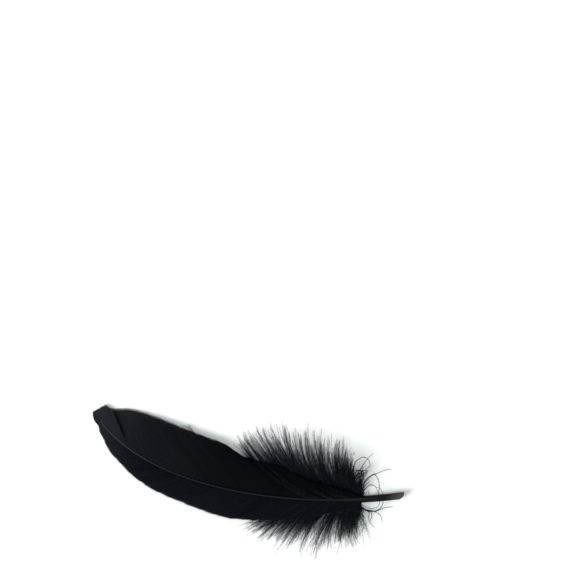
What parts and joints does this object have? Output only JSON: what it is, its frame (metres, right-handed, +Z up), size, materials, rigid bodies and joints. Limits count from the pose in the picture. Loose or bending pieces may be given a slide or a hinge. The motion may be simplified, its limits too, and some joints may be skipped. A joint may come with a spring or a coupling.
{
  "type": "goose satinette feather",
  "caption": "Curved black feather lying flat: a bare quill end, a firm two-sided vane with one wide half, and a skirt of downy locks at the vane's foot.",
  "frame": {"origin": "bottom centre of the bounding box, on the surface that the feather lies on", "axes": "+X along the feather, from its tip towards the cut end of the bare quill; +Y towards the wider half of the vane; +Z up, out of the feather's outer face"},
  "size_m": [0.1598, 0.0787, 0.0084],
  "materials": {
    "vane": "black dyed barbs, soft satin sheen",
    "quill": "black dyed horn, smooth and slightly glossy",
    "down": "black dyed down, matt"
  },
  "bodies": {
    "root": {"feather": "vane"}
  },
  "joints": []
}
